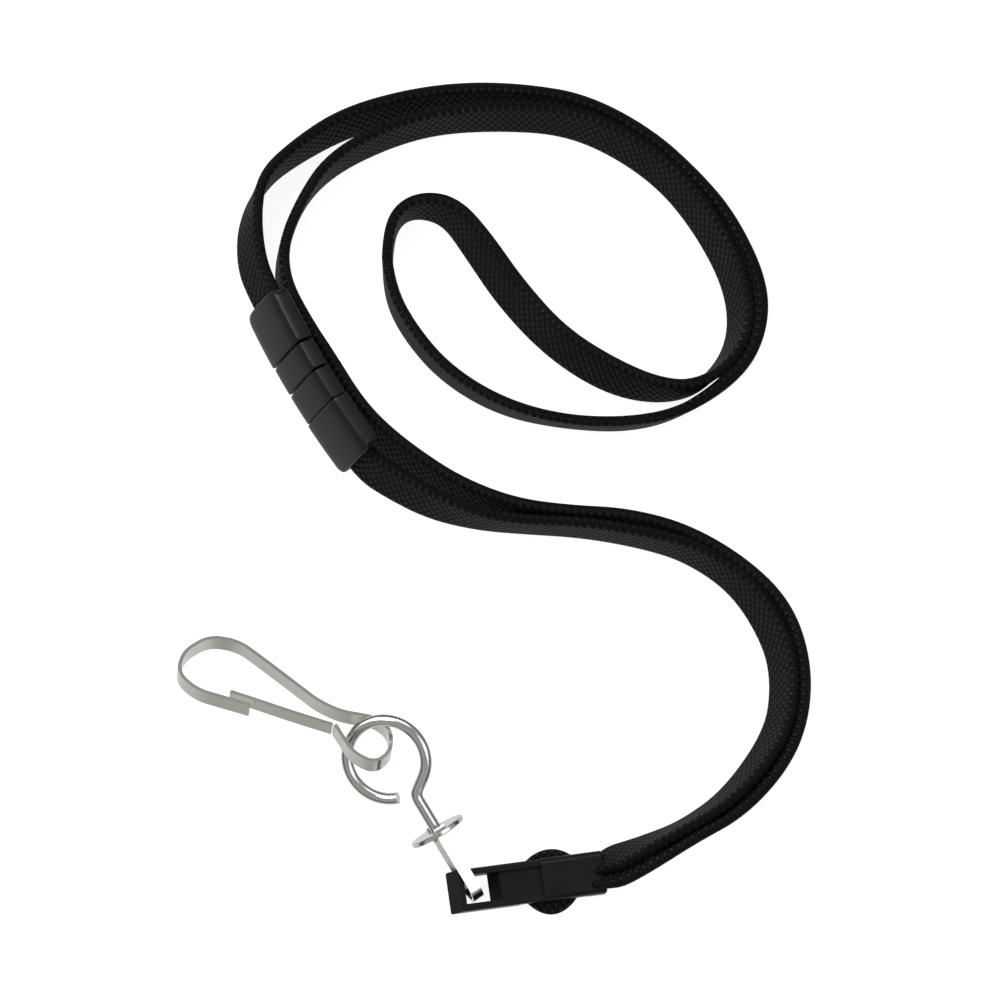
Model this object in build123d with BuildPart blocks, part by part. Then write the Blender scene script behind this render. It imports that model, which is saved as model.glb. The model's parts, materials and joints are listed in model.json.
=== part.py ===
"""Breakaway neck lanyard: flat braid, breakaway clasp, end fitting and swivel spring hook.

The lanyard lies on a flat surface, which is the plane Z = 0, and its braid stands on its edge.
The origin is on that surface, under the middle of the hard parts. Lengths are in millimetres.
"""
from build123d import *
from math import acos, atan2, cos, degrees, dist, radians, sin, tan
import os

# Braid
BRAID_WIDTH = 9.5
SPAN_THICK = 1.6            # a free span, a little thinner than the braid, so two lie side by side
ARC_SHARE = 0.45            # share of the shorter run that an arc of a route takes up

# Breakaway clasp
CLASP_WIDTH = 13.6
CLASP_THICK = 4.2
CLASP_CURVE = 145.0         # radius of its lengthwise curve
CLASP_LEAN = 28.0           # degrees from upright
CLASP_MID = (-15.9, 42.0, 7.25)  # where its two halves part
CLASP_HEADING = -59.1       # degrees, from the upper end to the lower end
PLUG_LID_LENGTH = 11.0
PLUG_BODY_LENGTH = 5.6
SOCKET_BODY_LENGTH = 6.2
SOCKET_LID_LENGTH = 11.2
CLASP_GAP = 0.35            # open line between two mouldings of the clasp
CLASP_FLOOR = 1.0           # wall under the clamped braid
TONGUE_ROOT = 1.0           # how far the tongue starts inside the plug's block
LID_STEP = 0.25             # how far a lid stands proud of its body
LID_ROUND = 1.0
LID_CORNER = 1.9
TONGUE_LENGTH = 4.6
TONGUE_WIDTH = 6.5
TONGUE_THICK = 1.4
TONGUE_PLAY = 0.1

# End fitting
FIT_BAR_END = (10.7, -54.4, 4.4)
FIT_TURN = 8.1              # degrees about Z
FIT_TILT = 4.0              # degrees, the bar end up
FIT_LENGTH = 29.2
FIT_HEIGHT = 7.8
FIT_THICK = 3.4
FIT_RAIL = 1.3
FIT_BAR = 3.0               # end bar, at its foot
FIT_DRAFT = 2.1             # slope of the end faces
RAIL_ROUND = 0.4
WINDOW_LENGTH = 4.6
BLOCK_DROP = 0.7            # depth of the block's face below the rails
SLEEVE_LENGTH = 11.7
SLEEVE_WALL = 1.0
SLEEVE_THICK = 4.6
SLEEVE_ROUND = 1.3
SLEEVE_LIP = 0.5            # round of its mouth
RAIL_INSET = 3.0            # length of the rails inside the sleeve
BRAID_SLOT_START = 12.8     # from here the braid lies under the rails
BRAID_SLOT_LENGTH = 12.8
FIT_PLAY = 0.1
TURN_LENGTH = 12.2          # folded braid under the sleeve
TURN_WIDTH = 12.0
TURN_THICK = 1.7

# Swivel
DISC_MIDDLE = (8.6, -43.1, 6.3)
SWIVEL_AXIS = (-0.51, 0.83, 0.23)   # from the disc to the eye
EYE_ACROSS = (0.825, 0.395, 0.418)   # roughly in the plane of the eye
SHANK_WIRE = 2.2
SHANK_LENGTH = 8.0          # from the disc to the bend
SHANK_BEND = 2.5
EYE_RADIUS = 7.6            # to the middle of the wire
EYE_OFFSET = -1.36          # of its middle from the shank's line
EYE_REACH = 16.32           # of its middle from the disc
EYE_SWEEP = 310.0           # degrees of the ring
SHANK_HEAD = 3.5
HEAD_THICK = 0.8
DISC_DIAMETER = 10.8
DISC_THICK = 0.9
DISC_EDGE = 0.15
STIRRUP_WIDTH = 2.2
STIRRUP_STRIP = 0.6
STIRRUP_GAP = 4.7
STIRRUP_LENGTH = 14.8
STIRRUP_TWIST = 33.0        # degrees about the swivel's axis
STIRRUP_TAB = 1.3           # bent over on the disc
SWIVEL_PLAY = 0.1

# Spring hook
HOOK_CROSSING = (-6.85, -25.34, 10.72)    # where the eye goes through the small loop
HOOK_ALONG = (0.89, -0.41, 0.14)        # from the big end to the small loop
HOOK_ACROSS = (0.108, 0.522, 0.846)     # along the strip's width
HOOK_WIDTH = 3.0
HOOK_STRIP = 0.7
GATE_GAP = 0.5
GATE_INSET = 0.4            # the gate is so much narrower than the hook's strip

# Routes of the braid on the surface, seen from above
FRONT_ROUTE = [
    (-5.4, 26.6), (-3.2, 24.0), (1.0, 21.7), (7.2, 18.9), (16.2, 15.9), (24.2, 14.9),
    (35.7, 14.4), (47.2, 12.4), (56.2, 9.9), (65.7, 3.9), (72.2, -6.6), (73.7, -15.1),
    (72.2, -24.6), (63.7, -36.1), (54.7, -42.1), (47.2, -45.5), (40.5, -48.0),
]
BACK_ROUTE = [
    (40.2, -51.4), (47.2, -49.2), (55.7, -43.8), (64.2, -38.6), (71.7, -30.1), (75.2, -21.6),
    (75.7, -11.6), (72.7, -1.6), (65.2, 6.4), (54.7, 12.9), (43.7, 15.9), (33.2, 16.4),
    (22.7, 18.2), (13.0, 22.0), (5.9, 27.2), (-0.9, 32.9), (-5.3, 38.7), (-10.1, 46.7),
    (-15.2, 54.3), (-19.3, 61.8), (-20.8, 68.9), (-19.05, 73.15),
]
INNER_ROUTE = [
    (-19.05, 73.15), (-17.3, 77.4), (-11.8, 84.4), (-1.8, 89.9), (8.2, 92.9), (20.2, 93.9),
    (32.2, 93.2), (42.2, 89.2), (52.0, 82.2), (59.2, 73.4), (64.7, 62.9), (66.2, 53.9),
    (64.95, 50.15),
]
DIAGONAL_ROUTE = [
    (64.95, 50.15), (63.7, 46.4), (57.2, 40.9), (49.7, 40.4), (40.7, 43.4), (30.7, 49.9),
    (22.2, 59.4), (16.2, 68.4), (11.2, 74.9), (5.7, 76.4), (1.2, 74.9), (-1.0, 70.4), (-1.0, 65.4),
]
LEG_ROUTE = [
    (-1.0, 65.4), (-1.0, 59.9), (2.7, 52.4), (9.7, 43.9), (20.2, 37.4), (32.2, 34.4),
    (44.7, 33.9), (54.7, 36.4), (64.7, 43.4), (68.7, 51.4), (68.7, 55.9),
]
OUTER_ROUTE = [
    (68.7, 55.9), (68.7, 60.4), (63.2, 72.4), (56.7, 80.4), (48.2, 88.8), (36.5, 95.2),
    (25.7, 96.9), (14.2, 97.4), (2.7, 95.9), (-9.3, 92.4), (-18.3, 86.9), (-24.8, 81.4),
    (-27.3, 73.4), (-28.0, 65.9),
]

# Centre line of the hook's strip, in its own plane
HOOK_ROUTE = [
    (-19.3, -4.8), (-29.6, -6.5), (-34.6, -4.6), (-35.9, 0.6), (-33.4, 6.2), (-28.2, 7.9),
    (-22.0, 6.3), (-8.7, 2.5), (-4.0, 2.4), (2.2, 4.4), (6.0, 3.1), (8.2, -1.4), (6.9, -5.4),
    (2.2, -5.2), (-3.5, -1.0),
]
GATE_ROUTE = [(-3.5, -1.0), (-12.0, -2.2), (-20.2, -3.1), (-24.0, -3.6)]


def arc_radii(route):
    """Radius of the arc at each corner of a route of straight runs."""
    radii = []
    for before, corner, after in zip(route, route[1:], route[2:]):
        coming = Vector(*corner) - Vector(*before)
        going = Vector(*after) - Vector(*corner)
        run = min(coming.length, going.length)
        radii.append(ARC_SHARE * run / tan(radians(coming.get_angle(going)) / 2))
    return radii


def braid_span(label, route):
    """A span of the braid, standing on its edge."""
    height = BRAID_WIDTH / 2
    radii = arc_radii(route)
    with BuildPart() as span:
        with BuildLine() as path:
            FilletPolyline(*[(x, y, height) for x, y in route], radius=radii)
        line = path.wires()[0]
        with BuildSketch(Plane(origin=line @ 0, x_dir=(0, 0, 1), z_dir=line % 0)):
            Rectangle(BRAID_WIDTH, SPAN_THICK)
        sweep(path=line)
    share = span.part.volume / (BRAID_WIDTH * SPAN_THICK * line.length)
    print(f"{label}: {line.length:.1f} mm, volume {share:.4f} of section times length")
    print("  radii", " ".join(f"{radius:.1f}" for radius in radii))
    return span.part


def strip(plane, route, width, thick):
    """A bent strip: its centre line is in the plane, and its width stands evenly across it."""
    with BuildPart() as piece:
        with BuildLine(plane) as path:
            FilletPolyline(*route, radius=arc_radii(route))
        line = path.wires()[0]
        with BuildSketch(Plane(origin=line @ 0, x_dir=plane.z_dir, z_dir=line % 0)):
            Rectangle(width, thick)
        sweep(path=line)
    return piece.part


# Clasp: X of its plane runs to the lower end, Y to the back, Z along the braid's width
CLASP_ALONG = Vector(cos(radians(CLASP_HEADING)), sin(radians(CLASP_HEADING)), 0)
CLASP_BACK = Vector(-CLASP_ALONG.Y, CLASP_ALONG.X, 0)
CLASP_UP = Vector(0, 0, cos(radians(CLASP_LEAN))) + CLASP_BACK * sin(radians(CLASP_LEAN))
CLASP_PLANE = Plane(origin=CLASP_MID, x_dir=CLASP_ALONG, z_dir=CLASP_UP)
CLASP_HALF = CLASP_THICK / 2
PLUG_BODY_END = -CLASP_GAP / 2 - PLUG_BODY_LENGTH
PLUG_LID_START = PLUG_BODY_END - CLASP_GAP
PLUG_END = PLUG_LID_START - PLUG_LID_LENGTH
SOCKET_BODY_END = CLASP_GAP / 2 + SOCKET_BODY_LENGTH
SOCKET_LID_START = SOCKET_BODY_END + CLASP_GAP
SOCKET_END = SOCKET_LID_START + SOCKET_LID_LENGTH
CLAMP_BACK = CLASP_HALF - CLASP_FLOOR       # back face of the clamped braid
CLAMP_FRONT = CLAMP_BACK - SPAN_THICK


def clasp_point(station, offset):
    """A point on the clasp's lengthwise curve, and so far towards the back."""
    angle = station / CLASP_CURVE
    radius = CLASP_CURVE - offset
    return radius * sin(angle), CLASP_CURVE - radius * cos(angle)


def clasp_block(start, end, front, back, width):
    """A stretch of the clasp between two stations and two depths."""
    middle = (start + end) / 2
    with BuildPart() as block:
        with BuildSketch(CLASP_PLANE.offset(-width / 2)):
            with BuildLine():
                ThreePointArc(*[clasp_point(s, front) for s in (start, middle, end)])
                Line(clasp_point(end, front), clasp_point(end, back))
                ThreePointArc(*[clasp_point(s, back) for s in (end, middle, start)])
                Line(clasp_point(start, back), clasp_point(start, front))
            make_face()
        extrude(amount=width)
    return block.part


def end_corners(block, outer):
    """The short straight edges at one end of a stretch of the clasp."""
    short = block.edges().filter_by(GeomType.LINE).filter_by(lambda edge: edge.length < CLASP_WIDTH / 2)
    return short.group_by(Axis(CLASP_PLANE.origin, CLASP_PLANE.x_dir))[outer]


def clasp_lid(start, end, outer):
    """A lid that folds over the braid: its face and two side walls, open at both ends."""
    with BuildPart() as lid:
        add(clasp_block(start, end, -CLASP_HALF, CLAMP_BACK, CLASP_WIDTH))
        fillet(end_corners(lid, outer), LID_CORNER)
        face = lid.faces().sort_by(lambda f: -CLASP_PLANE.to_local_coords(f.center()).Y)[-1]
        fillet(face.edges(), LID_ROUND)
        add(clasp_block(start, end, CLAMP_FRONT, CLAMP_BACK, BRAID_WIDTH), mode=Mode.SUBTRACT)
    return lid.part


def clasp_body(start, end, floor_start, floor_end, outer):
    """A block with a floor that runs on under its lid and the braid."""
    width = CLASP_WIDTH - 2 * LID_STEP
    with BuildPart() as body:
        add(clasp_block(floor_start, floor_end, CLAMP_BACK, CLASP_HALF, width))
        fillet(end_corners(body, outer), LID_CORNER)
        add(clasp_block(start, end, LID_STEP - CLASP_HALF, CLASP_HALF, width))
        face = body.faces().sort_by(lambda f: -CLASP_PLANE.to_local_coords(f.center()).Y)[-1]
        fillet(face.edges().filter_by(GeomType.CIRCLE), LID_ROUND)
    return body.part


with BuildPart() as clasp_plug_lid:
    add(clasp_lid(PLUG_END, PLUG_LID_START, 0))

with BuildPart() as clasp_socket_lid:
    add(clasp_lid(SOCKET_LID_START, SOCKET_END, -1))

TONGUE_BASE = -CLASP_GAP / 2 - TONGUE_ROOT
with BuildPart() as clasp_plug_body:
    add(clasp_body(PLUG_BODY_END, -CLASP_GAP / 2, PLUG_END, -CLASP_GAP / 2, 0))
    with BuildSketch(CLASP_PLANE.offset(-TONGUE_WIDTH / 2)):
        with Locations(((TONGUE_BASE + TONGUE_LENGTH) / 2, 0)):
            Rectangle(TONGUE_LENGTH - TONGUE_BASE, TONGUE_THICK)
    extrude(amount=TONGUE_WIDTH)

with BuildPart() as clasp_socket_body:
    add(clasp_body(CLASP_GAP / 2, SOCKET_BODY_END, CLASP_GAP / 2, SOCKET_END, -1))
    with BuildSketch(CLASP_PLANE.offset(-TONGUE_WIDTH / 2 - TONGUE_PLAY)):
        with Locations(((TONGUE_LENGTH + 2 * TONGUE_PLAY) / 2, 0)):
            Rectangle(TONGUE_LENGTH + 2 * TONGUE_PLAY, TONGUE_THICK + 2 * TONGUE_PLAY)
    extrude(amount=TONGUE_WIDTH + 2 * TONGUE_PLAY, mode=Mode.SUBTRACT)

with BuildPart() as strap_end_plug:
    add(clasp_block(PLUG_END, PLUG_LID_START, CLAMP_FRONT, CLAMP_BACK, BRAID_WIDTH))

with BuildPart() as strap_end_socket:
    add(clasp_block(SOCKET_LID_START, SOCKET_END, CLAMP_FRONT, CLAMP_BACK, BRAID_WIDTH))

# End fitting: X of its plane runs from the end bar to the mouth, Z out of its face
FIT_ALONG = Vector(1, 0, 0).rotate(Axis.Y, FIT_TILT).rotate(Axis.Z, FIT_TURN)
FIT_FACE = Vector(0, 0, 1).rotate(Axis.Y, FIT_TILT).rotate(Axis.Z, FIT_TURN)
FIT_PLANE = Plane(origin=FIT_BAR_END, x_dir=FIT_ALONG, z_dir=FIT_FACE)
FIT_SIDE = Plane(origin=FIT_BAR_END, x_dir=FIT_ALONG, z_dir=-FIT_PLANE.y_dir)
SLEEVE_START = FIT_LENGTH - SLEEVE_LENGTH
WINDOW_END = FIT_BAR + WINDOW_LENGTH
WINDOW_HEIGHT = FIT_HEIGHT - 2 * FIT_RAIL
HALF_FIT = FIT_THICK / 2
SLOT_TOP = -0.2             # top of the room for the braid, from the fitting's middle plane
TURN_TOP = SLOT_TOP - FIT_PLAY
FRAME_END = SLEEVE_START + RAIL_INSET


def braid_slot():
    """The room that the folded braid needs under the rails, cut across the whole fitting."""
    with BuildPart() as room:
        with BuildSketch(FIT_SIDE.offset(-FIT_HEIGHT)):
            with Locations((BRAID_SLOT_START + BRAID_SLOT_LENGTH / 2, SLOT_TOP - FIT_THICK)):
                Rectangle(BRAID_SLOT_LENGTH, 2 * FIT_THICK)
        extrude(amount=2 * FIT_HEIGHT)
    return room.part


with BuildPart() as fitting_frame:
    with BuildSketch(FIT_SIDE.offset(-FIT_HEIGHT / 2)):
        Polygon(
            (0, -HALF_FIT), (FRAME_END, -HALF_FIT), (FRAME_END, HALF_FIT), (FIT_DRAFT, HALF_FIT),
            align=None
        )
    extrude(amount=FIT_HEIGHT)
    fillet(fitting_frame.edges().filter_by(Axis(FIT_PLANE.origin, FIT_PLANE.x_dir)), RAIL_ROUND)
    with BuildSketch(FIT_SIDE.offset(-WINDOW_HEIGHT / 2)):
        Polygon(
            (FIT_BAR, -FIT_THICK), (WINDOW_END, -FIT_THICK), (WINDOW_END, -HALF_FIT),
            (WINDOW_END + FIT_DRAFT, HALF_FIT - BLOCK_DROP), (FRAME_END, HALF_FIT - BLOCK_DROP),
            (FRAME_END, FIT_THICK), (FIT_BAR, FIT_THICK), align=None
        )
    extrude(amount=WINDOW_HEIGHT, mode=Mode.SUBTRACT)
    add(braid_slot(), mode=Mode.SUBTRACT)

with BuildPart() as fitting_sleeve:
    with BuildSketch(Plane(origin=FIT_PLANE.from_local_coords((SLEEVE_START, 0, 0)),
                           x_dir=FIT_PLANE.y_dir, z_dir=FIT_ALONG)):
        RectangleRounded(FIT_HEIGHT + 2 * FIT_PLAY, SLEEVE_THICK, SLEEVE_ROUND)
    extrude(amount=SLEEVE_LENGTH)
    mouth = fitting_sleeve.faces().sort_by(Axis(FIT_PLANE.origin, FIT_PLANE.x_dir))[-1]
    fillet(mouth.edges(), SLEEVE_LIP)
    add(braid_slot(), mode=Mode.SUBTRACT)
    with BuildSketch(Plane(origin=FIT_PLANE.from_local_coords((SLEEVE_START, 0, 0)),
                           x_dir=FIT_PLANE.y_dir, z_dir=FIT_ALONG)):
        Rectangle(FIT_HEIGHT - 2 * SLEEVE_WALL, SLEEVE_THICK - 2 * SLEEVE_WALL)
    extrude(amount=SLEEVE_LENGTH, mode=Mode.SUBTRACT)
    add(fitting_frame.part, mode=Mode.SUBTRACT)

with BuildPart() as strap_turn:
    with BuildSketch(FIT_PLANE.offset(TURN_TOP - TURN_THICK)):
        with Locations((BRAID_SLOT_START + BRAID_SLOT_LENGTH / 2, 0)):
            Ellipse(TURN_LENGTH / 2, TURN_WIDTH / 2)
    extrude(amount=TURN_THICK)
    with BuildSketch(Plane(origin=FIT_PLANE.from_local_coords((FRAME_END + FIT_PLAY, 0, 0)),
                           x_dir=FIT_PLANE.y_dir, z_dir=FIT_ALONG)):
        Rectangle(FIT_HEIGHT - 2 * SLEEVE_WALL, SLEEVE_THICK - 2 * SLEEVE_WALL)
    extrude(amount=FIT_LENGTH - FRAME_END - FIT_PLAY)

# Swivel: X of the eye's plane runs along the shank, Y across the eye
SWIVEL_DIR = Vector(*SWIVEL_AXIS).normalized()
EYE_FACE = SWIVEL_DIR.cross(Vector(*EYE_ACROSS)).normalized()
EYE_PLANE = Plane(origin=DISC_MIDDLE, x_dir=SWIVEL_DIR, z_dir=EYE_FACE)
DISC_PLANE = Plane(origin=DISC_MIDDLE, x_dir=EYE_PLANE.y_dir, z_dir=SWIVEL_DIR)
STIRRUP_FACE = DISC_PLANE.x_dir.rotate(Axis((0, 0, 0), SWIVEL_DIR), STIRRUP_TWIST)
STIRRUP_PLANE = Plane(origin=DISC_MIDDLE, x_dir=SWIVEL_DIR, z_dir=STIRRUP_FACE)
LEG_PLACE = (STIRRUP_GAP + STIRRUP_STRIP) / 2   # of a leg's middle from the axis
HEAD_PLACE = -DISC_THICK / 2 - SWIVEL_PLAY

with BuildPart() as eye_wire:
    reach = dist((SHANK_LENGTH, 0), (EYE_REACH, EYE_OFFSET))
    slope = degrees(atan2(-EYE_OFFSET, SHANK_LENGTH - EYE_REACH))
    touch = slope - degrees(acos(EYE_RADIUS / reach))
    meet = (
        EYE_REACH + EYE_RADIUS * cos(radians(touch)),
        EYE_OFFSET + EYE_RADIUS * sin(radians(touch)),
    )
    with BuildLine(EYE_PLANE) as eye_path:
        FilletPolyline((HEAD_PLACE, 0), (SHANK_LENGTH, 0), meet, radius=SHANK_BEND)
        CenterArc((EYE_REACH, EYE_OFFSET), EYE_RADIUS, touch, -EYE_SWEEP)
    with BuildSketch(Plane(origin=EYE_PLANE.from_local_coords((HEAD_PLACE, 0, 0)), z_dir=SWIVEL_DIR)):
        Circle(SHANK_WIRE / 2)
    sweep(path=eye_path.line)
    head = EYE_PLANE.from_local_coords((HEAD_PLACE - HEAD_THICK, 0, 0))
    with BuildSketch(Plane(origin=head, z_dir=SWIVEL_DIR)):
        Circle(SHANK_HEAD / 2)
    extrude(amount=HEAD_THICK)

with BuildPart() as swivel_disc:
    with BuildSketch(DISC_PLANE.offset(-DISC_THICK / 2)):
        Circle(DISC_DIAMETER / 2)
        Circle(SHANK_WIRE / 2 + SWIVEL_PLAY, mode=Mode.SUBTRACT)
    extrude(amount=DISC_THICK)
    circles = swivel_disc.edges().filter_by(GeomType.CIRCLE)
    chamfer(circles.filter_by(lambda edge: edge.radius > DISC_DIAMETER / 3), DISC_EDGE)
    with BuildSketch(STIRRUP_PLANE.offset(-STIRRUP_WIDTH / 2)):
        with Locations((0, LEG_PLACE), (0, -LEG_PLACE)):
            Rectangle(2 * DISC_THICK, STIRRUP_STRIP)
    extrude(amount=STIRRUP_WIDTH, mode=Mode.SUBTRACT)

with BuildPart() as stirrup:
    bottom = -STIRRUP_LENGTH + STIRRUP_STRIP / 2
    bend = bottom + LEG_PLACE
    with BuildLine(STIRRUP_PLANE) as stirrup_path:
        Line((DISC_THICK / 2, LEG_PLACE), (bend, LEG_PLACE))
        ThreePointArc((bend, LEG_PLACE), (bottom, 0), (bend, -LEG_PLACE))
        Line((bend, -LEG_PLACE), (DISC_THICK / 2, -LEG_PLACE))
    with BuildSketch(Plane(origin=STIRRUP_PLANE.from_local_coords((DISC_THICK / 2, LEG_PLACE, 0)),
                           x_dir=STIRRUP_FACE, z_dir=-SWIVEL_DIR)):
        Rectangle(STIRRUP_WIDTH, STIRRUP_STRIP)
    sweep(path=stirrup_path.line)
    with BuildSketch(STIRRUP_PLANE.offset(-STIRRUP_WIDTH / 2)):
        tab_height = (DISC_THICK + STIRRUP_STRIP) / 2
        tab_place = LEG_PLACE + (STIRRUP_TAB - STIRRUP_STRIP) / 2
        with Locations((tab_height, tab_place), (tab_height, -tab_place)):
            Rectangle(STIRRUP_STRIP, STIRRUP_TAB)
    extrude(amount=STIRRUP_WIDTH)

# Hook: X of its plane runs from the big end to the small loop, Z along the strip's width
HOOK_X = Vector(*HOOK_ALONG).normalized()
HOOK_Z = HOOK_X.cross(Vector(*HOOK_ACROSS).cross(HOOK_X))
HOOK_PLANE = Plane(origin=HOOK_CROSSING, x_dir=HOOK_X, z_dir=HOOK_Z)

with BuildPart() as hook_strip:
    add(strip(HOOK_PLANE, HOOK_ROUTE, HOOK_WIDTH, HOOK_STRIP))

with BuildPart() as hook_gate:
    root = Vector(*GATE_ROUTE[0])
    root += (Vector(*GATE_ROUTE[1]) - root).normalized() * GATE_GAP
    add(strip(HOOK_PLANE, [(root.X, root.Y)] + GATE_ROUTE[1:], HOOK_WIDTH - GATE_INSET, HOOK_STRIP))

# Spans of the braid
SPANS = {
    "strap_front": FRONT_ROUTE,
    "strap_back": BACK_ROUTE,
    "strap_inner": INNER_ROUTE,
    "strap_diagonal": DIAGONAL_ROUTE,
    "strap_leg": LEG_ROUTE,
    "strap_outer": OUTER_ROUTE,
}

pieces = {
    "clasp_plug_body": clasp_plug_body.part,
    "clasp_plug_lid": clasp_plug_lid.part,
    "clasp_socket_body": clasp_socket_body.part,
    "clasp_socket_lid": clasp_socket_lid.part,
    "strap_end_plug": strap_end_plug.part,
    "strap_end_socket": strap_end_socket.part,
    "fitting_frame": fitting_frame.part,
    "fitting_sleeve": fitting_sleeve.part,
    "strap_turn": strap_turn.part,
    "eye_wire": eye_wire.part,
    "swivel_disc": swivel_disc.part,
    "stirrup": stirrup.part,
    "hook_strip": hook_strip.part,
    "hook_gate": hook_gate.part,
}
for name, route in SPANS.items():
    pieces[name] = braid_span(name, route)

os.makedirs("parts", exist_ok=True)
for name, piece in pieces.items():
    piece.label = name
    export_step(piece, f"parts/{name}.step")
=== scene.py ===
"""Looks of the breakaway neck lanyard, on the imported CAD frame. Tables are in millimetres."""
from __future__ import annotations

import json
import logging
from dataclasses import dataclass
from enum import Enum
from math import cos, inf, pi, radians, sin
from typing import Sequence

import bmesh
import bpy
from mathutils import Matrix, Vector

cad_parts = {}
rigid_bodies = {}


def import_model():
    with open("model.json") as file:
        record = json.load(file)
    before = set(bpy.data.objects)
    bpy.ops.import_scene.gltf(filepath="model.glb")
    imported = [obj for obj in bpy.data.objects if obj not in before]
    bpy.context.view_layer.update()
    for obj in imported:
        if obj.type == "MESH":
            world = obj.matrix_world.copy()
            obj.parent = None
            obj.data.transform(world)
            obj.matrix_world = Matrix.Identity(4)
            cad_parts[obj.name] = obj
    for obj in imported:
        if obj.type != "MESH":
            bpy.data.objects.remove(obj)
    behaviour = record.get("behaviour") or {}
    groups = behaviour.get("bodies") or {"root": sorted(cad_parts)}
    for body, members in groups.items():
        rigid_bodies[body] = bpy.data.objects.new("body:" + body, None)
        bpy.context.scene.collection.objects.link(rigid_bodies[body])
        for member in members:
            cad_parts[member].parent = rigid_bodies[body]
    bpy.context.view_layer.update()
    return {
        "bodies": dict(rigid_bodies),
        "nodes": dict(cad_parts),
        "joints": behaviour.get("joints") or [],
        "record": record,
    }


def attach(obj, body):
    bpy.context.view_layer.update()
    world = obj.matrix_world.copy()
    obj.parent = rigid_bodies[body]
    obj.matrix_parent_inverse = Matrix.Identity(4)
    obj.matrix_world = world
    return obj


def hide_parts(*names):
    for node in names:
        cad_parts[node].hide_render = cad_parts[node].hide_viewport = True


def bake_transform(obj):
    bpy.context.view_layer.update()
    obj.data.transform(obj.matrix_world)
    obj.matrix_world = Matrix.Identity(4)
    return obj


LOG = logging.getLogger("lanyard")
MM = 0.001


class Body(str, Enum):
    """Bodies of the record that pieces ride on."""

    LOOP = "strap_loop"
    PLUG = "clasp_plug"


class Slot(str, Enum):
    """Material slots of the record."""

    BRAID = "braid"
    CLASP = "clasp_plastic"
    FITTING = "fitting_plastic"
    STEEL = "steel"


@dataclass(frozen=True)
class RoutePoint:
    """A point of a braid's route on the surface.

    Attributes:
        x: Place in millimetres.
        y: Place in millimetres.
        lean: Degrees that the top edge leans to the left of the route.
        lift: Millimetres that the lower edge stands off the surface.
    """

    x: float
    y: float
    lean: float
    lift: float = 0.0


@dataclass(frozen=True)
class Braid:
    """Section of the flat braid, in millimetres."""

    width: float = 9.5
    thick: float = 2.0
    step: float = 0.9

    def height(self, lean: float) -> float:
        """Height of the middle of a braid that stands on its lower edge.

        Args:
            lean: Degrees from upright.

        Returns:
            The height in millimetres.
        """
        angle = radians(lean)
        return self.width / 2 * cos(angle) + self.thick / 2 * abs(sin(angle))


BRAID = Braid()

FRONT = tuple(RoutePoint(*p) for p in (
    (-7.0, 29.2, 28, 1.5), (-4.6, 26.0, 29, 1.0), (-0.6, 23.4, 29, 0.2), (7.2, 18.9, 23), (16.2, 15.9, 9),
    (24.2, 14.9, 4), (35.7, 14.4, 7), (47.2, 12.4, 8), (56.2, 9.9, 14), (65.7, 3.9, 24), (72.2, -6.6, 28),
    (73.7, -15.1, 28), (72.2, -24.6, 27), (63.7, -36.1, 20), (54.7, -42.1, 12), (47.2, -45.5, 20),
    (41.2, -48.1, 32, -0.4), (37.4, -49.4, 40, -1.6),
))
BACK = tuple(RoutePoint(*p) for p in (
    (37.2, -51.8, -40, -1.6), (41.4, -51.1, -32, -0.4), (47.2, -48.7, -22), (55.7, -43.6, -18), (64.2, -38.6, -23),
    (71.7, -30.1, -26), (75.2, -21.6, -26), (75.7, -11.6, -24), (72.7, -1.6, -20), (65.2, 6.4, -15),
    (54.7, 12.9, -11), (43.7, 15.9, -9), (33.2, 16.4, -9), (22.7, 17.6, -12), (12.7, 21.1, -18),
    (4.7, 25.9, -22), (-2.6, 31.6, -23), (-7.8, 37.2, -25), (-12.7, 45.1, -26), (-17.5, 52.5, -25),
    (-21.0, 60.9, -12), (-20.9, 68.5, -4), (-17.5, 77.3, -8), (-11.8, 84.4, 6), (-1.8, 89.9, 12), (8.2, 92.9, 13),
    (20.2, 93.9, 19), (32.2, 93.2, 20), (42.3, 89.4, 25), (52.1, 82.3, 24), (59.2, 73.4, 26), (64.7, 62.9, 26),
    (66.2, 53.9, 25), (63.7, 46.4, 18), (57.2, 40.9, 2), (49.7, 40.4, -14), (40.7, 43.4, -31), (30.7, 49.9, -30),
    (22.2, 59.4, -34), (16.2, 68.4, -32), (11.2, 74.9, -23), (5.7, 76.4, -12), (1.2, 74.9, -2), (-1.0, 70.4, 1),
    (-1.1, 65.4, 0),
))
OUTER = tuple(RoutePoint(*p) for p in (
    (-22.2, 54.6, -28, 1.5), (-24.6, 59.4, -29, 0.9), (-26.9, 65.2, -31, 0.1), (-27.3, 73.4, -23),
    (-24.8, 81.4, 0), (-18.3, 86.9, 8), (-9.3, 92.4, 17), (2.7, 95.9, 18), (14.2, 97.4, 17), (25.7, 96.9, 17),
    (36.3, 95.0, 17), (47.9, 88.6, 17), (56.7, 80.4, 17), (63.2, 72.4, 17), (68.7, 60.4, 17), (68.7, 51.4, 15),
    (64.7, 43.4, 12), (54.7, 36.4, 9), (44.7, 33.9, 3), (32.2, 34.4, 5), (20.2, 37.4, -2), (9.7, 43.9, -5),
    (2.7, 52.4, -7), (-0.8, 59.9, -5), (-1.1, 65.4, 0),
))
SECOND_FACE = 20.0          # place across the pattern where the braid's other face starts


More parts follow.
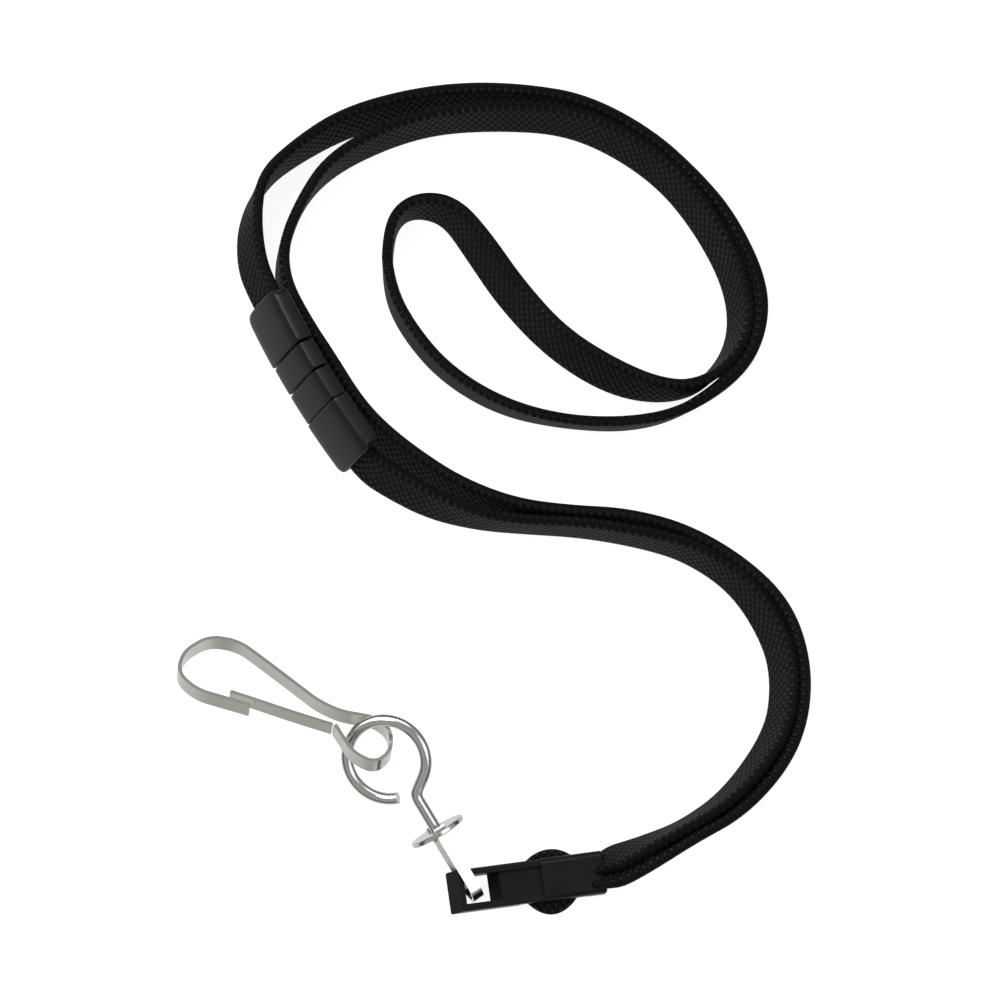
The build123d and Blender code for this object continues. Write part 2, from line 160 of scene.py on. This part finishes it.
class Graph:
    """A node material, built with short calls."""

    def __init__(self, name: str) -> None:
        """Start a material with a Principled shader.

        Args:
            name: Name of the material.
        """
        self.material = bpy.data.materials.new(name)
        self.material.use_nodes = True
        self.tree = self.material.node_tree
        self.shader = self.tree.nodes["Principled BSDF"]

    def node(self, kind: str, inputs: dict | None = None, **settings) -> bpy.types.Node:
        """Add a node.

        Args:
            kind: Type of the node, without its ShaderNode prefix.
            inputs: Values or sockets by the input's name or index.
            settings: Properties of the node.

        Returns:
            The new node.
        """
        made = self.tree.nodes.new("ShaderNode" + kind)
        for key, value in settings.items():
            setattr(made, key, value)
        for key, value in (inputs or {}).items():
            self.feed(made.inputs[key], value)
        return made

    def feed(self, socket: bpy.types.NodeSocket, value) -> None:
        """Link a socket to an input, or set the input's value."""
        if isinstance(value, bpy.types.NodeSocket):
            self.tree.links.new(value, socket)
        else:
            socket.default_value = value

    def math(self, operation: str, first, second=0.0) -> bpy.types.NodeSocket:
        """Join two values.

        Args:
            operation: Name of the operation.
            first: Value or socket.
            second: Value or socket.

        Returns:
            The result's socket.
        """
        return self.node("Math", {0: first, 1: second}, operation=operation).outputs[0]

    def ramp(self, factor, stops: Sequence[tuple[float, Sequence[float]]]) -> bpy.types.NodeSocket:
        """Map a value to colours.

        Args:
            factor: Value or socket.
            stops: Pairs of position and colour.

        Returns:
            The colour's socket.
        """
        made = self.node("ValToRGB", {0: factor})
        ramp = made.color_ramp
        while len(ramp.elements) < len(stops):
            ramp.elements.new(0.5)
        for element, (position, colour) in zip(ramp.elements, stops):
            element.position = position
            element.color = (*colour, 1.0)
        return made.outputs[0]

    def noise(self, scale: float, detail: float = 3.0, stretch: Sequence[float] = (1, 1, 1)) -> bpy.types.NodeSocket:
        """Noise in the object's own coordinates.

        Args:
            scale: Cells per metre.
            detail: Octaves.
            stretch: Scale along each axis.

        Returns:
            The value's socket.
        """
        place = self.node("TexCoord").outputs["Object"]
        mapped = self.node("Mapping", {"Vector": place, "Scale": tuple(stretch)}).outputs[0]
        return self.node("TexNoise", {"Vector": mapped, "Scale": scale, "Detail": detail}).outputs["Fac"]

    def bump(self, height, distance: float, strength: float) -> None:
        """Give the shader a bump.

        Args:
            height: The height's socket.
            distance: Depth in metres.
            strength: Share of the effect.
        """
        made = self.node("Bump", {"Height": height, "Distance": distance, "Strength": strength})
        self.feed(self.shader.inputs["Normal"], made.outputs[0])


@dataclass(frozen=True)
class BraidFinish:
    """Tubular braid: strands that cross each other, with a dull sheen on each crest.

    Attributes:
        name: Name of the material.
        pitch: Step of a strand along the braid, in millimetres.
        row: Step of a strand across the braid, in millimetres.
        depth: Depth of the weave in metres.
        tones: Pairs of painted sheen and tone, from the grooves to the crests.
    """

    name: str = "black_braid"
    pitch: float = 1.5
    row: float = 2.1
    depth: float = 0.00035
    tones: tuple[tuple[float, tuple[float, float, float]], ...] = (
        (0.0, (0.0016, 0.0016, 0.0017)), (0.2, (0.0036, 0.0037, 0.0037)),
        (0.38, (0.020, 0.0205, 0.020)), (0.6, (0.055, 0.057, 0.055)))

    def material(self) -> bpy.types.Material:
        """Make the material."""
        graph = Graph(self.name)
        place = graph.node("UVMap", uv_map="braid").outputs[0]
        split = graph.node("SeparateXYZ", {0: place})
        along = graph.math("MULTIPLY", split.outputs[0], 1 / self.pitch)
        across = graph.math("MULTIPLY", split.outputs[1], 1 / self.row)
        waves = []
        for join in ("ADD", "SUBTRACT"):
            phase = graph.math("MULTIPLY", graph.math(join, along, across), pi)
            waves.append(graph.math("ABSOLUTE", graph.math("SINE", phase)))
        crest = graph.math("MULTIPLY", waves[0], waves[1])
        # Painted sheen: each crest's colour is painted paler than the black between crests, varied at random by the
        # fibre and patch noise.
        dots = graph.math("POWER", crest, 2.2)
        fibre = graph.node("TexNoise", {"Vector": place, "Scale": 3.2, "Detail": 4.0}).outputs["Fac"]
        patch = graph.math("ADD", graph.noise(90.0, 2.0), 0.25)
        painted_crest_sheen = graph.math("MULTIPLY", dots, graph.math("MULTIPLY", fibre, patch))
        graph.feed(graph.shader.inputs["Base Color"], graph.ramp(painted_crest_sheen, self.tones))
        graph.shader.inputs["Roughness"].default_value = 0.62
        graph.shader.inputs["Specular IOR Level"].default_value = 0.14
        graph.shader.inputs["Sheen Weight"].default_value = 0.01
        graph.shader.inputs["Sheen Roughness"].default_value = 0.4
        weave = graph.math("ADD", crest, graph.math("MULTIPLY", fibre, 0.35))
        graph.bump(weave, self.depth, 0.9)
        return graph.material


@dataclass(frozen=True)
class MouldedFinish:
    """Moulded plastic with a fine grain and a slight variation of sheen.

    Attributes:
        name: Name of the material.
        dark: Darker colour.
        pale: Paler colour.
        rough: Roughness.
        gloss: Specular level.
    """

    name: str
    dark: tuple[float, float, float]
    pale: tuple[float, float, float]
    rough: float
    gloss: float

    def material(self) -> bpy.types.Material:
        """Make the material."""
        graph = Graph(self.name)
        cloud = graph.noise(160.0, 3.0)
        grain = graph.noise(9000.0, 2.0)
        graph.feed(graph.shader.inputs["Base Color"], graph.ramp(cloud, [(0.3, self.dark), (0.7, self.pale)]))
        shade = graph.math("ADD", graph.math("MULTIPLY", cloud, 0.10), self.rough)
        graph.feed(graph.shader.inputs["Roughness"], shade)
        graph.shader.inputs["Specular IOR Level"].default_value = self.gloss
        graph.bump(grain, 0.00002, 0.25)
        return graph.material


@dataclass(frozen=True)
class NickelFinish:
    """Bright nickel plate with faint draw marks.

    Attributes:
        name: Name of the material.
        colour: Colour of the plate.
        stretch: Scale of the marks along each axis.
    """

    name: str
    colour: tuple[float, float, float]
    stretch: tuple[float, float, float] = (1.0, 1.0, 1.0)

    def material(self) -> bpy.types.Material:
        """Make the material."""
        graph = Graph(self.name)
        marks = graph.noise(700.0, 3.0, self.stretch)
        cloud = graph.noise(120.0, 2.0)
        tones = [(0.3, [tone * 0.88 for tone in self.colour]), (0.7, self.colour)]
        graph.feed(graph.shader.inputs["Base Color"], graph.ramp(cloud, tones))
        graph.shader.inputs["Metallic"].default_value = 1.0
        shade = graph.math("ADD", graph.math("MULTIPLY", marks, 0.14), 0.09)
        graph.feed(graph.shader.inputs["Roughness"], shade)
        graph.bump(marks, 0.00003, 0.2)
        return graph.material


@dataclass(frozen=True)
class FloorFinish:
    """Matt white floor that glows a little, so that shadows stay soft.

    Attributes:
        name: Name of the material.
        tone: Its grey.
        rough: Roughness.
        glow: Strength of its own light.
    """

    name: str = "pale_floor"
    tone: float = 0.30
    rough: float = 0.9
    glow: float = 3.0

    def material(self) -> bpy.types.Material:
        """Make the material."""
        graph = Graph(self.name)
        grey = (self.tone, self.tone, self.tone, 1.0)
        graph.shader.inputs["Base Color"].default_value = grey
        graph.shader.inputs["Roughness"].default_value = self.rough
        graph.shader.inputs["Specular IOR Level"].default_value = 0.0
        graph.shader.inputs["Emission Color"].default_value = grey
        graph.shader.inputs["Emission Strength"].default_value = self.glow
        return graph.material


BRAID_FINISH = BraidFinish()
CLASP_FINISH = MouldedFinish("clasp_black", (0.0045, 0.006, 0.0058), (0.0075, 0.0095, 0.0092), 0.33, 0.40)
FITTING_FINISH = MouldedFinish("fitting_black", (0.0022, 0.0025, 0.0025), (0.0045, 0.005, 0.0049), 0.34, 0.22)
WIRE_FINISH = NickelFinish("nickel_wire", (0.80, 0.795, 0.77))
STRIP_FINISH = NickelFinish("nickel_strip", (0.80, 0.79, 0.735), (1.0, 1.0, 4.0))


def loft(name: str, rings: Sequence[Sequence[Vector]], marks: Sequence[Sequence[tuple[float, float]]],
         material: bpy.types.Material) -> bpy.types.Object:
    """Skin closed rings into one closed mesh.

    Args:
        name: Name of the piece.
        rings: Rings of points in metres, all of one length.
        marks: UV place of each point, in millimetres.
        material: Material of the piece.

    Returns:
        The piece.
    """
    mesh = bmesh.new()
    layer = mesh.loops.layers.uv.new("braid")
    rows = [[mesh.verts.new(point) for point in ring] for ring in rings]
    count = len(rows[0])
    places = {vert: mark for row, line in zip(rows, marks) for vert, mark in zip(row, line)}
    for row, following in zip(rows, rows[1:]):
        for index in range(count):
            after = (index + 1) % count
            mesh.faces.new((row[index], row[after], following[after], following[index]))
    mesh.faces.new(list(reversed(rows[0])))
    mesh.faces.new(rows[-1])
    for face in mesh.faces:
        face.smooth = len(face.verts) == 4
        for loop in face.loops:
            loop[layer].uv = places[loop.vert]
    bmesh.ops.recalc_face_normals(mesh, faces=mesh.faces)
    data = bpy.data.meshes.new(name)
    mesh.to_mesh(data)
    mesh.free()
    data.materials.append(material)
    piece = bpy.data.objects.new(name, data)
    bpy.context.scene.collection.objects.link(piece)
    return piece


def flat_section(width: float, thick: float) -> list[tuple[float, float]]:
    """Points round a flat section with full edges and slightly crowned faces.

    Args:
        width: Its width.
        thick: Its thickness.

    Returns:
        Place across the width, and through the thickness, of each point.
    """
    points = []
    edge_points, face_points, crown = 5, 9, 0.03
    edge = thick / 2
    run = width / 2 - edge
    for side, start in ((1, -90), (-1, 90)):
        for turn in range(1, edge_points + 1):
            angle = radians(start + turn * 180 / (edge_points + 1))
            points.append((side * run + edge * cos(angle), edge * sin(angle)))
        for index in range(face_points):
            share = index / (face_points - 1)
            points.append((side * run * (1 - 2 * share), side * edge * (1 + crown * sin(pi * share))))
    return points


def braid_marks(station: float) -> list[tuple[float, float]]:
    """Places in the braid's pattern of the points round its section.

    Args:
        station: Place along the braid, in millimetres.

    Returns:
        The place of each point.
    """
    section = flat_section(BRAID.width, BRAID.thick)
    return [(station, across + (SECOND_FACE if depth < 0 else 0.0)) for across, depth in section]


class Strap:
    """One free length of the braid, on a smooth line through its route.

    Attributes:
        GATHER: Length over which the braid gathers into the end fitting, in millimetres.
        GATHERED: Share of its width that is left there.
        THINNED: Share of its thickness that is lost there.
    """

    GATHER = 6.0
    GATHERED = 0.58
    THINNED = 0.15

    def __init__(self, name: str, route: Sequence[RoutePoint], gather_start: bool, gather_end: bool) -> None:
        """Work out the line.

        Args:
            name: Name of the piece.
            route: Route on the surface.
            gather_start: The braid gathers at its start.
            gather_end: The braid gathers at its end.
        """
        self.name = name
        self.gather_start = gather_start
        self.gather_end = gather_end
        line = self.sample([Vector((p.x, p.y, BRAID.height(p.lean) + p.lift)) for p in route])
        leans = self.sample([Vector((p.x, p.y, p.lean)) for p in route])
        self.line, self.leans = self.spread(line, [point.z for point in leans])

    def sample(self, points: Sequence[Vector]) -> list[Vector]:
        """Points of the smooth line whose control points are given.

        Args:
            points: Control points.

        Returns:
            Points along the line.
        """
        curve = bpy.data.curves.new(self.name + "_line", "CURVE")
        curve.dimensions = "3D"
        spline = curve.splines.new("NURBS")
        spline.points.add(len(points) - 1)
        for control, point in zip(spline.points, points):
            control.co = (*point, 1.0)
        spline.order_u = 3
        spline.use_endpoint_u = True
        spline.resolution_u = 16
        carrier = bpy.data.objects.new(self.name + "_line", curve)
        mesh = bpy.data.meshes.new_from_object(carrier)
        found = [vertex.co.copy() for vertex in mesh.vertices]
        bpy.data.meshes.remove(mesh)
        bpy.data.objects.remove(carrier)
        bpy.data.curves.remove(curve)
        return found

    @staticmethod
    def spread(line: Sequence[Vector], leans: Sequence[float]) -> tuple[list[Vector], list[float]]:
        """Space the points evenly.

        Args:
            line: Points of the line.
            leans: Lean at each point.

        Returns:
            The new points, and the lean at each.
        """
        places = [0.0]
        for one, two in zip(line, line[1:]):
            places.append(places[-1] + (two - one).length)
        count = round(places[-1] / BRAID.step)
        points, tilts, index = [], [], 0
        for number in range(count + 1):
            place = places[-1] * number / count
            while index < len(places) - 2 and places[index + 1] < place:
                index += 1
            share = (place - places[index]) / max(places[index + 1] - places[index], 1e-9)
            points.append(line[index].lerp(line[index + 1], share))
            tilts.append(leans[index] + (leans[index + 1] - leans[index]) * share)
        return points, tilts

    @property
    def length(self) -> float:
        """Length of the line in millimetres."""
        return sum((two - one).length for one, two in zip(self.line, self.line[1:]))

    def gathered(self, place: float) -> float:
        """How far the braid is gathered, from 0 to 1.

        Args:
            place: Distance along the line.

        Returns:
            The share.
        """
        near = min(place if self.gather_start else inf, self.length - place if self.gather_end else inf)
        share = max(0.0, 1.0 - near / self.GATHER)
        return share * share * (3 - 2 * share)

    def build(self, material: bpy.types.Material) -> bpy.types.Object:
        """Make the piece.

        Args:
            material: Its material.

        Returns:
            The piece.
        """
        rings, marks = [], []
        total = self.length
        for index, (point, lean) in enumerate(zip(self.line, self.leans)):
            before = self.line[max(index - 1, 0)]
            after = self.line[min(index + 1, len(self.line) - 1)]
            ahead = (after - before).normalized()
            left = Vector((-ahead.y, ahead.x, 0)).normalized()
            up = (Vector((0, 0, 1)) * cos(radians(lean)) + left * sin(radians(lean))).normalized()
            through = up.cross(ahead).normalized()
            place = total * index / (len(self.line) - 1)
            share = self.gathered(place)
            width = BRAID.width * (1 - share * (1 - self.GATHERED))
            section = flat_section(width, BRAID.thick * (1 - self.THINNED * share))
            rings.append([(point + up * across + through * depth) * MM for across, depth in section])
            marks.append(braid_marks(place))
        return loft(self.name, rings, marks, material)


def make_strap(strap: Strap, nodes: Sequence[str], material: bpy.types.Material) -> bpy.types.Object:
    """Args:
        strap: The strap.
        nodes: CAD nodes that it stands for.
        material: Its material.

    Returns:
        The piece.
    """
    piece = strap.build(material)
    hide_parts(*nodes)
    strap.length * MM
    LOG.info("%s is %.1f mm long", strap.name, strap.length)
    return piece


@dataclass(frozen=True)
class Moulding:
    """One of the clasp's mouldings.

    Attributes:
        name: The CAD node that it stands for.
        start: Station of its upper end, in millimetres.
        end: Station of its lower end, in millimetres.
    """

    name: str
    start: float
    end: float

    @property
    def is_lid(self) -> bool:
        """Whether it is a lid."""
        return self.name.endswith("_lid")

    @property
    def is_plug(self) -> bool:
        """Whether it is on the plug's half."""
        return "plug" in self.name


@dataclass(frozen=True)
class Clasp:
    """The breakaway clasp: two halves, each with a block and a lid. Sizes are in millimetres.

    Attributes:
        middle: Where the halves part.
        heading: Degrees from +X to its lower end.
        lean: Degrees that it leans back.
        curve: Radius of its lengthwise curve.
        half_thick: Half of its thickness.
        width: Its width.
        lid_step: How far a lid stands wider than its block.
        lid_corner: Radius of a lid's outer corners.
        edge: Round of each moulding's ends.
        crown: How far its front falls away towards its edges.
        squareness: Power of its section.
        mouldings: The four mouldings.
    """

    middle: tuple[float, float, float] = (-15.9, 42.0, 7.25)
    heading: float = -59.1
    lean: float = 28.0
    curve: float = 145.0
    half_thick: float = 2.1
    width: float = 13.6
    lid_step: float = 0.2
    lid_corner: float = 1.9
    edge: float = 0.3
    crown: float = 0.35
    squareness: float = 6.0
    mouldings: tuple[Moulding, ...] = (
        Moulding("clasp_plug_lid", -17.125, -6.125), Moulding("clasp_plug_body", -5.775, -0.175),
        Moulding("clasp_socket_body", 0.175, 6.45), Moulding("clasp_socket_lid", 6.53, 17.925))

    def axes(self) -> tuple[Vector, Vector, Vector]:
        """Directions of the clasp: to its lower end, to its back, and up its width."""
        along = Vector((cos(radians(self.heading)), sin(radians(self.heading)), 0))
        level = Vector((-along.y, along.x, 0))
        up = Vector((0, 0, cos(radians(self.lean)))) + level * sin(radians(self.lean))
        return along, up.cross(along), up

    def crowned(self, angle: float, half_width: float, half_thick: float) -> tuple[float, float]:
        """A point of the section: its front is crowned, and its back nearly flat.

        Args:
            angle: Angle round the section, in radians.
            half_width: Half of its width.
            half_thick: Half of its thickness.

        Returns:
            Place towards the back, and up the width.
        """
        power = 2 / self.squareness
        wide = abs(cos(angle)) ** power * (1 if cos(angle) >= 0 else -1) * half_width
        deep = abs(sin(angle)) ** power * (1 if sin(angle) >= 0 else -1) * half_thick
        if deep < 0:
            deep += self.crown * (wide / half_width) ** 2 * -deep / half_thick
        return deep, wide

    def stations(self, moulding: Moulding) -> list[tuple[float, float]]:
        """Stations along a moulding, each with how far its section draws in.

        Args:
            moulding: The moulding.

        Returns:
            Pairs of station and inset.
        """
        steps = 26
        start, end, edge = moulding.start, moulding.end, self.edge
        places = [(start, edge), (start + edge * 0.3, edge * 0.35), (start + edge, 0.0)]
        places += [(start + edge + (end - start - 2 * edge) * i / steps, 0.0) for i in range(1, steps)]
        places += [(end - edge, 0.0), (end - edge * 0.3, edge * 0.35), (end, edge)]
        return places

    def build_moulding(self, moulding: Moulding, material: bpy.types.Material) -> bpy.types.Object:
        """Make one moulding.

        Args:
            moulding: The moulding.
            material: Its material.

        Returns:
            The piece.
        """
        points = 48
        along, back, up = self.axes()
        outer_end = moulding.start if moulding.is_plug else moulding.end
        half_width = self.width / 2 - (0 if moulding.is_lid else self.lid_step)
        half_thick = self.half_thick - (0 if moulding.is_lid else self.lid_step * 0.6)
        rings, marks = [], []
        for station, inset in self.stations(moulding):
            corner = max(0.0, self.lid_corner - abs(station - outer_end)) if moulding.is_lid else 0.0
            shrink = inset + self.lid_corner - (self.lid_corner ** 2 - corner ** 2) ** 0.5
            angle = station / self.curve
            ring, line = [], []
            for index in range(points):
                deep, wide = self.crowned(2 * pi * index / points, half_width - shrink, half_thick - inset)
                radius = self.curve - deep
                place = along * (radius * sin(angle)) + back * (self.curve - radius * cos(angle)) + up * wide
                ring.append((Vector(self.middle) + place) * MM)
                line.append((station, wide))
            rings.append(ring)
            marks.append(line)
        piece = loft(moulding.name + "_shell", rings, marks, material)
        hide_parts(moulding.name)
        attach(piece, Body.PLUG.value if moulding.is_plug else Body.LOOP.value)
        LOG.info("%s is %.1f mm long", moulding.name, moulding.end - moulding.start)
        return piece

    def build(self, material: bpy.types.Material) -> None:
        """Make the four mouldings.

        Args:
            material: Their material.
        """
        for moulding in self.mouldings:
            self.build_moulding(moulding, material)


@dataclass(frozen=True)
class EndFitting:
    """The end fitting, with the braid folded round it. Sizes are in millimetres.

    Attributes:
        bar_end: Middle of its end bar.
        turn: Degrees about Z.
        tilt: Degrees that its bar end stands up.
        fold_middle: Place along it of the fold's middle.
        fold_half: Half of the fold's length.
        fold_width: Width across the fold.
        fold_drop: Depth of the fold's middle plane.
        nodes: Its CAD nodes.
    """

    bar_end: tuple[float, float, float] = (10.7, -54.4, 4.4)
    turn: float = 8.1
    tilt: float = 4.0
    fold_middle: float = 19.2
    fold_half: float = 6.1
    fold_width: float = 12.2
    fold_drop: float = 1.25
    nodes: tuple[str, ...] = ("fitting_frame", "fitting_sleeve")

    def matrix(self) -> Matrix:
        """Place of the fitting, X from its end bar to its mouth."""
        turned = Matrix.Rotation(radians(self.turn), 4, "Z") @ Matrix.Rotation(radians(self.tilt), 4, "Y")
        return Matrix.Translation(Vector(self.bar_end) * MM) @ turned

    def build_fold(self, material: bpy.types.Material) -> bpy.types.Object:
        """Make the folded braid, which bulges past the rails.

        Args:
            material: Its material.

        Returns:
            The piece.
        """
        place = self.matrix()
        rings, marks = [], []
        steps = 36
        for index in range(steps + 1):
            share = index / steps
            along = self.fold_middle - self.fold_half + 2 * self.fold_half * share
            bulge = max(sin(pi * (0.03 + 0.94 * share)), 0.0) ** 0.55
            width = self.fold_width * bulge
            sway = 0.35 * sin(pi * share * 1.3)
            points = []
            for wide, deep in flat_section(width, min(1.0 + 0.9 * bulge, width * 0.8)):
                points.append(place @ (Vector((along, wide - sway, deep - self.fold_drop)) * MM))
            rings.append(points)
            marks.append(braid_marks(along))
        piece = loft("folded_braid", rings, marks, material)
        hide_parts("strap_turn")
        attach(piece, Body.LOOP.value)
        LOG.info("folded_braid is %.1f mm wide", self.fold_width)
        return piece

    def dress(self, frame: dict, material: bpy.types.Material) -> None:
        """Give its nodes their finish.

        Args:
            frame: The loaded frame.
            material: Their material.
        """
        for node in self.nodes:
            paint(frame, node, material)


@dataclass(frozen=True)
class SwivelHook:
    """The swivel and the spring hook, whose shapes are the CAD's own.

    Attributes:
        wire_nodes: Nodes in the wire's finish.
        strip_nodes: Nodes in the strip's finish.
    """

    wire_nodes: tuple[str, ...] = ("eye_wire", "swivel_disc", "stirrup")
    strip_nodes: tuple[str, ...] = ("hook_strip", "hook_gate")

    def dress(self, frame: dict, wire: bpy.types.Material, strip: bpy.types.Material) -> None:
        """Give its nodes their finishes.

        Args:
            frame: The loaded frame.
            wire: Material of the wire.
            strip: Material of the strip.
        """
        for nodes, material in ((self.wire_nodes, wire), (self.strip_nodes, strip)):
            for node in nodes:
                paint(frame, node, material)


def paint(frame: dict, node: str, material: bpy.types.Material) -> None:
    """Give a CAD node a material.

    Args:
        frame: The loaded frame.
        node: Name of the node.
        material: Its material.
    """
    piece = frame["nodes"][node]
    if not piece.material_slots:
        piece.data.materials.append(material)
    for held in piece.material_slots:
        held.link = "OBJECT"
        held.material = material
    LOG.info("%s has %s", node, material.name)


@dataclass(frozen=True)
class SoftBox:
    """A soft box over the object, in metres and watts.

    Attributes:
        name: Name of the light.
        place: Its place.
        size: Its two sides.
        power: Its power.
    """

    name: str
    place: tuple[float, float, float]
    size: tuple[float, float]
    power: float

    def build(self, aim: Vector) -> None:
        """Make the light.

        Args:
            aim: The point that it faces.
        """
        data = bpy.data.lights.new(self.name, "AREA")
        data.shape = "RECTANGLE"
        data.size, data.size_y = self.size
        data.energy = self.power
        lamp = bpy.data.objects.new(self.name, data)
        lamp.location = self.place
        lamp.rotation_euler = (aim - Vector(self.place)).to_track_quat("-Z", "Y").to_euler()
        bpy.context.scene.collection.objects.link(lamp)


@dataclass(frozen=True)
class Studio:
    """Camera, floor, soft boxes and world.

    Attributes:
        target: Point that the camera faces, in millimetres.
        distance: Distance of the camera from it, in millimetres.
        elevation: Degrees that the camera stands above the surface.
        lens: Focal length in millimetres.
        sensor: Width of the sensor in millimetres.
        floor_half: Half of the floor's side, in metres.
        floor_drop: Depth of the floor under the surface, in metres.
        aim: Point that the soft boxes face, in metres.
        boxes: The soft boxes.
        sky: Pairs of height and tone, from straight down to straight up.
    """

    target: tuple[float, float, float] = (20.2, 20.4, 0.0)
    distance: float = 1000.0
    elevation: float = 80.0
    lens: float = 190.8
    sensor: float = 36.0
    floor_half: float = 3.0
    floor_drop: float = 0.00005
    aim: tuple[float, float, float] = (0.02, 0.02, 0.0)
    boxes: tuple[SoftBox, ...] = (
        SoftBox("key", (-0.55, 0.35, 0.75), (0.7, 0.7), 6.0),
        SoftBox("fill", (0.7, -0.25, 0.8), (0.8, 0.8), 2.4),
        SoftBox("top", (0.0, 0.75, 0.9), (0.9, 0.4), 3.0))
    sky: tuple[tuple[float, float], ...] = (
        (0.0, 0.75), (0.3, 0.55), (0.45, 0.07), (0.56, 0.08), (0.68, 0.42), (1.0, 0.30))

    def make_camera(self) -> None:
        """Set the camera."""
        data = bpy.data.cameras.new("camera")
        data.sensor_width = self.sensor
        data.lens = self.lens
        data.clip_end = 10.0
        camera = bpy.data.objects.new("camera", data)
        bpy.context.scene.collection.objects.link(camera)
        angle = radians(self.elevation)
        away = Vector((0, -cos(angle), sin(angle))) * self.distance
        camera.location = (Vector(self.target) + away) * MM
        camera.rotation_euler = (-away).to_track_quat("-Z", "Y").to_euler()
        bpy.context.scene.camera = camera

    def make_floor(self) -> None:
        """Lay the floor, which only diffuse light and the camera see."""
        mesh = bmesh.new()
        bmesh.ops.create_grid(mesh, x_segments=1, y_segments=1, size=self.floor_half)
        data = bpy.data.meshes.new("floor")
        mesh.to_mesh(data)
        mesh.free()
        data.materials.append(FloorFinish().material())
        floor = bpy.data.objects.new("floor", data)
        floor.location.z = -self.floor_drop
        floor.visible_glossy = False
        bpy.context.scene.collection.objects.link(floor)

    def make_world(self) -> None:
        """Give the world tones by height, with a dark band at the horizon."""
        world = bpy.data.worlds.new("studio")
        world.use_nodes = True
        tree = world.node_tree
        split = tree.nodes.new("ShaderNodeSeparateXYZ")
        tree.links.new(tree.nodes.new("ShaderNodeTexCoord").outputs["Generated"], split.inputs[0])
        height = tree.nodes.new("ShaderNodeMapRange")
        height.inputs["From Min"].default_value = -1.0
        tree.links.new(split.outputs[2], height.inputs["Value"])
        tones = tree.nodes.new("ShaderNodeValToRGB")
        while len(tones.color_ramp.elements) < len(self.sky):
            tones.color_ramp.elements.new(0.5)
        for element, (place, tone) in zip(tones.color_ramp.elements, self.sky):
            element.position = place
            element.color = (tone, tone * 1.01, tone * 1.01, 1.0)
        tree.links.new(height.outputs[0], tones.inputs[0])
        tree.links.new(tones.outputs[0], tree.nodes["Background"].inputs[0])
        bpy.context.scene.world = world

    def build(self) -> None:
        """Set up everything round the object but the camera."""
        self.make_floor()
        self.make_world()
        for box in self.boxes:
            box.build(Vector(self.aim))


def main() -> None:
    """Build every piece on the frame."""
    logging.basicConfig(level=logging.INFO)
    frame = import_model()
    studio = Studio()
    studio.make_camera()
    braid = BRAID_FINISH.material()
    front = make_strap(Strap("front_strap", FRONT, False, True), ["strap_front"], braid)
    back = make_strap(Strap("back_strap", BACK, True, False), ["strap_back", "strap_inner", "strap_diagonal"], braid)
    outer = make_strap(Strap("outer_strap", OUTER, False, False), ["strap_outer", "strap_leg"], braid)
    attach(front, Body.LOOP.value)
    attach(back, Body.LOOP.value)
    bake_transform(outer)
    fitting = EndFitting()
    fitting.build_fold(braid)
    Clasp().build(CLASP_FINISH.material())
    fitting_plastic = FITTING_FINISH.material()
    fitting.dress(frame, fitting_plastic)
    for node in ("strap_end_plug", "strap_end_socket"):
        paint(frame, node, fitting_plastic)
    SwivelHook().dress(frame, WIRE_FINISH.material(), STRIP_FINISH.material())
    studio.build()
    bpy.context.scene.view_settings.view_transform = "Standard"


if __name__ == "__main__":
    main()
